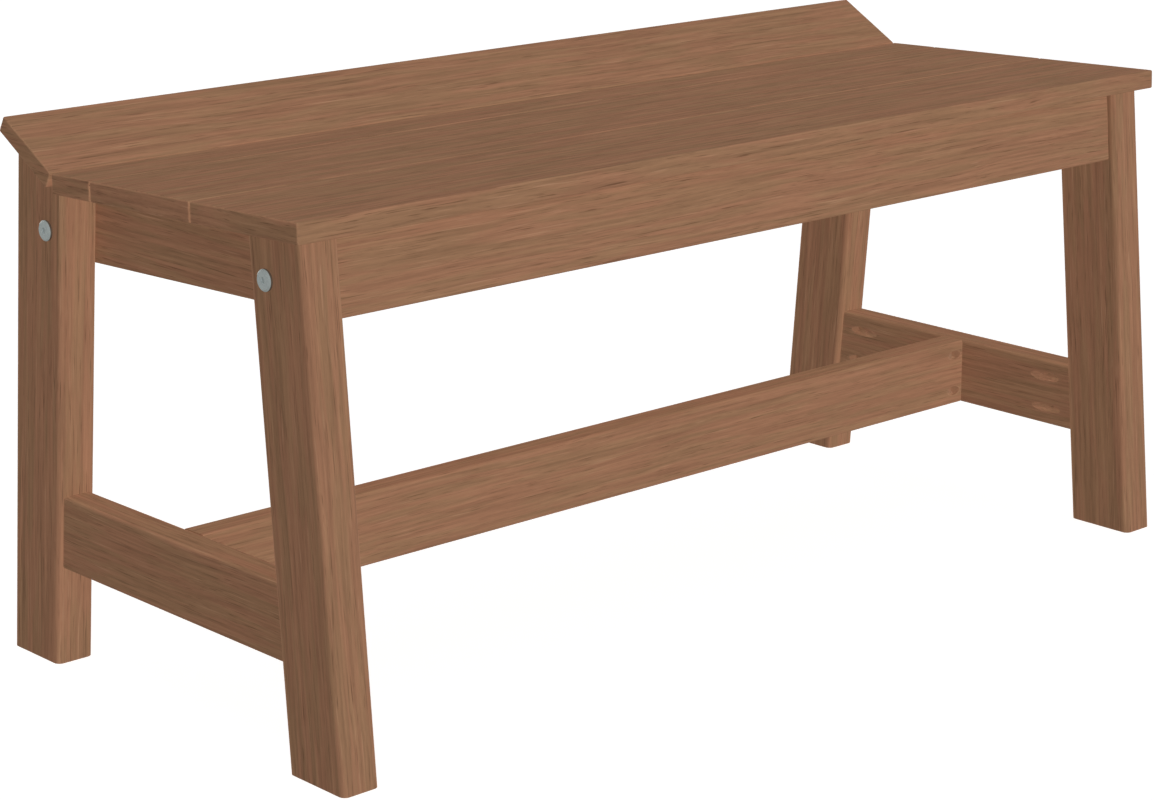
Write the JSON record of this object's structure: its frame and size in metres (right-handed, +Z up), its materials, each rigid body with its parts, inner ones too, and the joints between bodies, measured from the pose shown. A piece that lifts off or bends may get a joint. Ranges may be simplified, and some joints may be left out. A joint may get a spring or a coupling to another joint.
{
  "type": "dining bench",
  "caption": "Outdoor wooden dining bench with a plank seat, a tilted lip along its rear edge, splayed legs, a front apron and low stretchers.",
  "frame": {"origin": "on the floor, midway between the feet", "axes": "+X along the bench towards its right end as seen from the front, +Y from the front towards the back lip, +Z up"},
  "size_m": [1.042, 0.476, 0.4839],
  "materials": {
    "seat_wood": "oiled satin, grain along the boards",
    "frame_wood": "oiled satin, grain along each piece",
    "steel": "zinc-grey, satin",
    "coated_steel": "brown outdoor coating, satin"
  },
  "bodies": {
    "root": {"seat_board_front": "seat_wood", "seat_board_middle": "seat_wood", "seat_board_rear": "seat_wood", "back_lip_board": "seat_wood", "seat_batten": "frame_wood", "left_front_leg": "frame_wood", "right_front_leg": "frame_wood", "left_rear_leg": "frame_wood", "right_rear_leg": "frame_wood", "front_apron": "frame_wood", "rear_apron": "frame_wood", "left_seat_rail": "frame_wood", "right_seat_rail": "frame_wood", "left_end_stretcher": "frame_wood", "right_end_stretcher": "frame_wood", "long_stretcher": "frame_wood", "frame_bolts": "steel", "bolt_washers": "steel", "bolt_nuts": "steel", "end_stretcher_screws": "coated_steel", "apron_screws": "coated_steel", "long_stretcher_screws": "coated_steel", "seat_screws": "coated_steel", "back_lip_screws": "coated_steel", "batten_screws": "coated_steel"}
  },
  "joints": []
}
